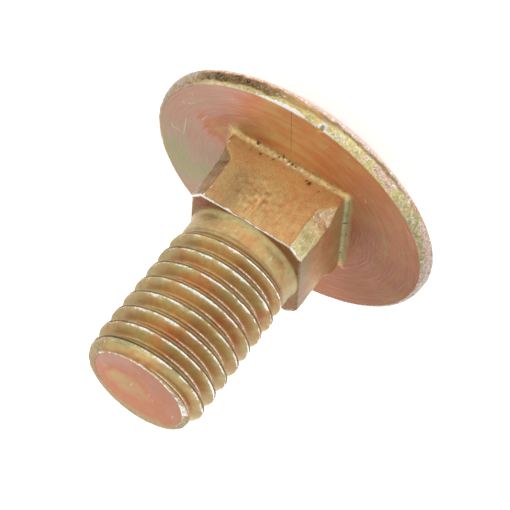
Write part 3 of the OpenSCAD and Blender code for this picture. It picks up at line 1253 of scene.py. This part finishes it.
def build_film_group():
    tree, inlet, outlet = new_group(
        "chromate film",
        [("Film", 0.3), ("Tone", 1.0), ("Brightening", 0.0), ("Darkening", 0.0),
         ("Mottle", 0.2), ("Mottle Scale", 900.0), ("Grain", 0.1), ("Grain Scale", 9000.0),
         ("Breakup", 0.6), ("Lines", 0.5), ("Line Film", 0.0), ("Line Tone", 0.0)],
        [("Color", "NodeSocketColor"), ("Roughness", "NodeSocketFloat"), ("Bare", "NodeSocketFloat")],
    )
    place = object_place(tree)
    value = inlet.outputs
    lines = centred(tree, value["Lines"])
    mottle = centred(tree, noise_at(tree, place, value["Mottle Scale"], 4.0, 0.6))
    film = times_plus(tree, mottle, value["Mottle"], value["Film"])
    film = times_plus(tree, lines, value["Line Film"], film, clamp=True)
    colour = ramp(tree, film, FILM_STOPS)
    speckle = centred(tree, noise_at(tree, place, value["Grain Scale"], 2.0, 0.7))
    shade = times_plus(tree, speckle, value["Grain"], 1.0)
    shade = times_plus(tree, lines, value["Line Tone"], shade)
    toned = mix_colour(tree, 1.0, colour, times(tree, shade, value["Tone"]), "MULTIPLY")
    broken = centred(tree, noise_at(tree, place, BREAKUP_SCALE, 4.0, 0.7))
    worn = times_plus(tree, broken, value["Breakup"], value["Brightening"])
    bare = soft_step(tree, worn, 0.25, 0.70)
    polished = times_plus(tree, minus(tree, worn, 0.6), 0.5, speckle)
    metal = mix_colour(tree, soft_step(tree, polished, -0.16, 0.10), DULL_ZINC, ZINC)
    colour = mix_colour(tree, bare, toned, metal)
    # Dirt and painted shade darken the colour.
    darkened = times(tree, value["Darkening"], times_plus(tree, speckle, 2.2, 1.0), clamp=True)
    tree.links.new(mix_colour(tree, darkened, colour, DARKENING_COLOUR), outlet.inputs["Color"])
    gloss = mix_number(tree, bare, FILM_ROUGHNESS, METAL_ROUGHNESS)
    tree.links.new(mix_number(tree, darkened, gloss, DARKENING_ROUGHNESS), outlet.inputs["Roughness"])
    tree.links.new(bare, outlet.inputs["Bare"])
    return tree


film_group = build_film_group()
print("film group:", len(film_group.nodes), "nodes")

# %% [markdown]
# ## Tool marks, pits and scratches
# Turning, heading and rolling all leave fine lines that run round the axis. Cut as shapes they
# would need millions of faces, so groups make them in the shader. The first makes round lines
# from noise over the radius and the height, which changes slowly with the angle. The second
# makes the pits and scale marks that a struck surface keeps, and the third one short scratch.

# %% Round tool marks
def build_marks_group():
    tree, inlet, outlet = new_group(
        "round tool marks",
        [("Across Radius", 9000.0), ("Across Height", 0.0), ("Wander", 2.0)],
        [("Height", "NodeSocketFloat")],
    )
    x, y, z = split_place(tree)
    squares = maths(tree, "ADD", times(tree, x, x), times(tree, y, y))
    radius = maths(tree, "SQRT", squares)
    safe = maths(tree, "MAXIMUM", radius, 0.0001)
    across = times(tree, radius, inlet.outputs["Across Radius"])
    across = times_plus(tree, z, inlet.outputs["Across Height"], across)
    wander = inlet.outputs["Wander"]
    around = {k: times(tree, maths(tree, "DIVIDE", v, safe), wander) for k, v in enumerate((x, y))}
    inputs = {"Vector": add_node(tree, "CombineXYZ", 0, around), "W": across,
              "Scale": 1.0, "Detail": 3.0, "Roughness": 0.65}
    lines = add_node(tree, "TexNoise", "Fac", inputs, noise_dimensions="4D")
    tree.links.new(lines, outlet.inputs["Height"])
    return tree


# %% Pits and scratches
def build_pits_group():
    tree, inlet, outlet = new_group(
        "struck surface",
        [("Size", 2500.0), ("Pit Depth", 1.0), ("Orange Peel", 0.3)],
        [("Height", "NodeSocketFloat")],
    )
    place = object_place(tree)
    size = inlet.outputs["Size"]
    cells = add_node(tree, "TexVoronoi", "Distance", {"Vector": place, "Scale": size})
    hollow = soft_step(tree, cells, 0.10, 0.45)
    few = soft_step(tree, noise_at(tree, place, 1500.0, 1.0), 0.45, 0.62)
    pits = times(tree, minus(tree, hollow, 1.0), few)
    peel = noise_at(tree, place, size, 4.0, 0.65)
    height = times(tree, pits, inlet.outputs["Pit Depth"])
    height = times_plus(tree, peel, inlet.outputs["Orange Peel"], height)
    tree.links.new(height, outlet.inputs["Height"])
    return tree


def build_scratch_group():
    """Mask of one straight scratch on a level face, from (X1, Y1) to (X2, Y2), in metres."""
    tree, inlet, outlet = new_group(
        "scratch",
        [("X1", 0.0), ("Y1", 0.0), ("X2", 0.001), ("Y2", 0.0), ("Width", 0.00005)],
        [("Mask", "NodeSocketFloat")],
    )
    x, y, _ = split_place(tree)
    x1, y1, x2, y2, width = (inlet.outputs[k] for k in ("X1", "Y1", "X2", "Y2", "Width"))
    along_x = minus(tree, x2, x1)
    along_y = minus(tree, y2, y1)
    from_x = minus(tree, x, x1)
    from_y = minus(tree, y, y1)
    dot = times_plus(tree, from_x, along_x, times(tree, from_y, along_y))
    square = times_plus(tree, along_x, along_x, times(tree, along_y, along_y))
    t = maths(tree, "DIVIDE", dot, square, clamp=True)
    off_x = minus(tree, from_x, times(tree, along_x, t))
    off_y = minus(tree, from_y, times(tree, along_y, t))
    far = maths(tree, "SQRT", times_plus(tree, off_x, off_x, times(tree, off_y, off_y)))
    mask = minus(tree, 1.0, maths(tree, "DIVIDE", far, width, clamp=True))
    tree.links.new(mask, outlet.inputs["Mask"])
    return tree


marks_group = build_marks_group()
pits_group = build_pits_group()
scratch_group = build_scratch_group()
print("groups:", [group.name for group in bpy.data.node_groups])

# %% [markdown]
# ## One material for each region
# Each region has the same film but its own history: the rim is raw, the bearing face keeps
# the turning marks of its die, the flats are struck, the thread is rolled. One material with
# masks could hold all that, but eight small ones are easier to read, and each sets its own
# mottle, marks and pits on the shared groups.

# %% Helpers for the materials
def painted(tree, name):
    return add_node(tree, "Attribute", "Fac", {}, attribute_name=name)


def add_group(tree, group, **values):
    node = tree.nodes.new("ShaderNodeGroup")
    node.node_tree = group
    for title, value in values.items():
        feed(tree, node.inputs[title.replace("_", " ")], value)
    return node.outputs


def bump(tree, height, depth_mm, normal=None):
    inputs = {"Distance": depth_mm * MM, "Strength": 1.0, "Height": height}
    if normal is not None:
        inputs["Normal"] = normal
    return add_node(tree, "Bump", "Normal", inputs)


def scratches(tree, lines, width_mm):
    """The strongest of several scratches, each given by its two ends in mm."""
    strongest = 0.0
    for (x1, y1), (x2, y2) in lines:
        ends = dict(X1=x1 * MM, Y1=y1 * MM, X2=x2 * MM, Y2=y2 * MM)
        mask = add_group(tree, scratch_group, Width=width_mm * MM, **ends)["Mask"]
        strongest = maths(tree, "MAXIMUM", mask, strongest)
    return strongest


def stronger_toward(tree, height, azimuth):
    """Tool marks that grow from faint to strong toward one side of the face."""
    inputs = {0: object_place(tree), 1: direction(azimuth, 0)}
    side = add_node(tree, "VectorMath", "Value", inputs, operation="DOT_PRODUCT")
    near = soft_step(tree, side, 0.002, 0.008)
    strength = times_plus(tree, near, 1.3, 0.8)
    return times_plus(tree, minus(tree, height, 0.5), strength, 0.5)


# %% One zinc material
BAND_FILM = 0.42                          # how far the broad bands move the film
LIGHT_SCRATCH_MM, DARK_SCRATCH_MM = 0.055, 0.07


def zinc_material(name, film, marks=None, marks_mm=0.0, pits=None, pits_mm=0.0,
                  light=(), dark=(), marks_toward=None, bands=None):
    """Film, round tool marks, pits and scratches, in one Principled material."""
    material = bpy.data.materials.new(name)
    material.use_nodes = True
    tree = material.node_tree
    shader = tree.nodes["Principled BSDF"]
    coat = {title: painted(tree, title.lower()) for title in ("Film", "Tone", "Brightening", "Darkening")}
    if bands is not None:
        drift = centred(tree, add_group(tree, marks_group, **bands)["Height"])
        coat["Film"] = times_plus(tree, drift, BAND_FILM, coat["Film"])
    if light:
        mask = scratches(tree, light, LIGHT_SCRATCH_MM)
        coat["Brightening"] = times_plus(tree, mask, 0.62, coat["Brightening"])
    if dark:
        mask = scratches(tree, dark, DARK_SCRATCH_MM)
        coat["Darkening"] = times_plus(tree, mask, 0.40, coat["Darkening"])
    normal = None
    if pits is not None:
        normal = bump(tree, add_group(tree, pits_group, **pits)["Height"], pits_mm)
    if marks is not None:
        height = add_group(tree, marks_group, **marks)["Height"]
        if marks_toward is not None:
            height = stronger_toward(tree, height, marks_toward)
        coat["Lines"] = height
        normal = bump(tree, height, marks_mm, normal)
    outputs = add_group(tree, film_group, **coat, **film)
    tree.links.new(outputs["Color"], shader.inputs["Base Color"])
    tree.links.new(outputs["Roughness"], shader.inputs["Roughness"])
    shader.inputs["Metallic"].default_value = 0.6
    if normal is not None:
        tree.links.new(normal, shader.inputs["Normal"])
    return material


# %% Scratches
# The two ends of each small scratch in mm: on the bearing face, then on the end.
FACE_SCRATCHES = [
    ((6.74, 8.94), (6.43, 8.85)), ((4.91, 9.76), (4.75, 9.58)), ((5.06, 9.23), (5.19, 8.93)),
    ((5.19, 8.93), (5.63, 8.71)), ((2.76, 9.43), (0.42, 9.63)), ((1.03, 10.76), (0.58, 10.66)),
    ((0.58, 10.66), (0.61, 9.86)), ((-1.16, 11.7), (-1.12, 11.52)), ((3.82, 8.0), (4.78, 7.53)),
    ((7.21, 3.76), (7.34, 3.17)), ((8.99, 5.47), (9.08, 5.26)), ((9.85, -2.84), (10.14, -3.05)),
    ((9.97, -4.56), (10.25, -4.78)), ((6.0, -6.51), (5.5, -6.59)),
]
END_SCRATCHES = [
    ((0.2, -0.89), (-0.13, -1.02)), ((0.43, 0.47), (-0.15, 0.67)), ((-0.86, -3.1), (-1.37, -2.97)),
    ((-0.27, -1.21), (-0.4, -1.31)),
]
FACE_HAIRLINE = [((12.0, 0.28), (6.5, 0.05))]

# %% Materials of the eight regions
MATERIALS = {
    DOME: zinc_material(
        "dome_zinc",
        dict(Mottle=0.35, Mottle_Scale=500.0, Grain=0.25, Breakup=0.5, Line_Film=0.2, Line_Tone=0.10),
        marks=dict(Across_Radius=5000.0, Wander=3.0), marks_mm=0.006,
        pits=dict(Size=1800.0, Pit_Depth=0.5, Orange_Peel=0.5), pits_mm=0.020),
    RIM: zinc_material(
        "raw_rim_zinc",
        dict(Mottle=0.28, Mottle_Scale=2600.0, Grain=0.9, Grain_Scale=7000.0, Breakup=0.75),
        pits=dict(Size=3500.0, Pit_Depth=0.8, Orange_Peel=1.2), pits_mm=0.10),
    FACE: zinc_material(
        "turned_face_zinc",
        dict(Mottle=0.22, Mottle_Scale=900.0, Grain=0.50, Breakup=0.6, Line_Film=0.30, Line_Tone=0.60),
        marks=dict(Across_Radius=9000.0, Wander=4.0), marks_mm=0.022, marks_toward=-80,
        bands=dict(Across_Radius=2200.0, Wander=1.6), light=FACE_SCRATCHES, dark=FACE_HAIRLINE),
    ROOT: zinc_material(
        "neck_root_zinc",
        dict(Mottle=0.25, Mottle_Scale=1100.0, Grain=0.5, Grain_Scale=6000.0, Breakup=0.7),
        pits=dict(Size=3000.0, Pit_Depth=1.2, Orange_Peel=0.8), pits_mm=0.040),
    NECK: zinc_material(
        "struck_neck_zinc",
        dict(Mottle=0.22, Mottle_Scale=2400.0, Grain=0.80, Grain_Scale=9500.0, Breakup=0.8),
        pits=dict(Size=6500.0, Pit_Depth=0.3, Orange_Peel=0.8), pits_mm=0.035),
    SHANK: zinc_material(
        "shank_zinc",
        dict(Mottle=0.25, Mottle_Scale=1100.0, Grain=0.50, Grain_Scale=8000.0, Breakup=1.1,
             Line_Film=0.10, Line_Tone=0.12),
        marks=dict(Across_Radius=0.0, Across_Height=7000.0, Wander=3.0), marks_mm=0.010,
        pits=dict(Size=3600.0, Pit_Depth=0.4, Orange_Peel=0.8), pits_mm=0.030),
    THREAD: zinc_material(
        "rolled_thread_zinc",
        dict(Mottle=0.22, Mottle_Scale=900.0, Grain=0.45, Grain_Scale=8000.0, Breakup=1.2,
             Line_Film=0.12, Line_Tone=0.15),
        marks=dict(Across_Radius=5000.0, Across_Height=5000.0, Wander=2.0), marks_mm=0.010),
    END: zinc_material(
        "cut_end_zinc",
        dict(Mottle=0.25, Mottle_Scale=700.0, Grain=0.18, Breakup=0.9),
        pits=dict(Size=3000.0, Pit_Depth=0.4, Orange_Peel=0.3), pits_mm=0.012, light=END_SCRATCHES),
}
for zone in sorted(MATERIALS):
    skin.data.materials.append(MATERIALS[zone])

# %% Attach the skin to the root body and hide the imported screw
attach(skin, "root")
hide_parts("screw")
print("materials:", [m.name for m in skin.data.materials])

# %% [markdown]
# ## Floor and light
# Shiny metal shows what is round it, so the light matters as much as the material. A pale
# floor fills the lower half of the reflections and a soft sky the upper half, a little
# brighter at the back and dimmer in front, as in a small studio tent.

# %% Floor
def make_floor():
    mesh = bpy.data.meshes.new("floor")
    half = 0.4
    corners = [(-half, -half, 0), (half, -half, 0), (half, half, 0), (-half, half, 0)]
    mesh.from_pydata(corners, [], [(0, 1, 2, 3)])
    floor = bpy.data.objects.new("floor", mesh)
    bpy.context.scene.collection.objects.link(floor)
    material = bpy.data.materials.new("pale_floor")
    material.use_nodes = True
    tree = material.node_tree
    shader = tree.nodes["Principled BSDF"]
    shader.inputs["Base Color"].default_value = (0.86, 0.86, 0.86, 1)   # as paper reflects
    shader.inputs["Roughness"].default_value = 1.0
    shader.inputs["Specular IOR Level"].default_value = 0.0
    path = tree.nodes.new("ShaderNodeLightPath")
    seen = maths(tree, "MAXIMUM", path.outputs["Is Camera Ray"], path.outputs["Is Glossy Ray"])
    seen = maths(tree, "MAXIMUM", seen, path.outputs["Is Transmission Ray"])
    shader.inputs["Emission Color"].default_value = (1, 1, 1, 1)
    tree.links.new(times(tree, seen, 0.80), shader.inputs["Emission Strength"])
    floor.data.materials.append(material)


make_floor()


# %% Sky
BRIGHT_SIDE = (163, 35)                   # azimuth and elevation of the brightest sky
DIM_SKY, BRIGHT_SKY = 0.70, 1.10


def make_sky():
    world = bpy.data.worlds.new("soft_sky")
    world.use_nodes = True
    bpy.context.scene.world = world
    tree = world.node_tree
    background = tree.nodes["Background"]
    ray = add_node(tree, "TexCoord", "Generated", {})
    inputs = {0: ray, 1: direction(*BRIGHT_SIDE)}
    glow = add_node(tree, "VectorMath", "Value", inputs, operation="DOT_PRODUCT")
    inputs = {"Value": glow, "From Min": -1.0, "From Max": 1.0, "To Min": DIM_SKY, "To Max": BRIGHT_SKY}
    level = add_node(tree, "MapRange", "Result", inputs)
    path = tree.nodes.new("ShaderNodeLightPath")
    strength = mix_number(tree, path.outputs["Is Camera Ray"], level, 1.0)
    tree.links.new(strength, background.inputs["Strength"])
    background.inputs["Color"].default_value = (1, 1, 1, 1)


make_sky()
print("sky:", DIM_SKY, "to", BRIGHT_SKY)
bpy.context.scene.view_settings.view_transform = "Standard"
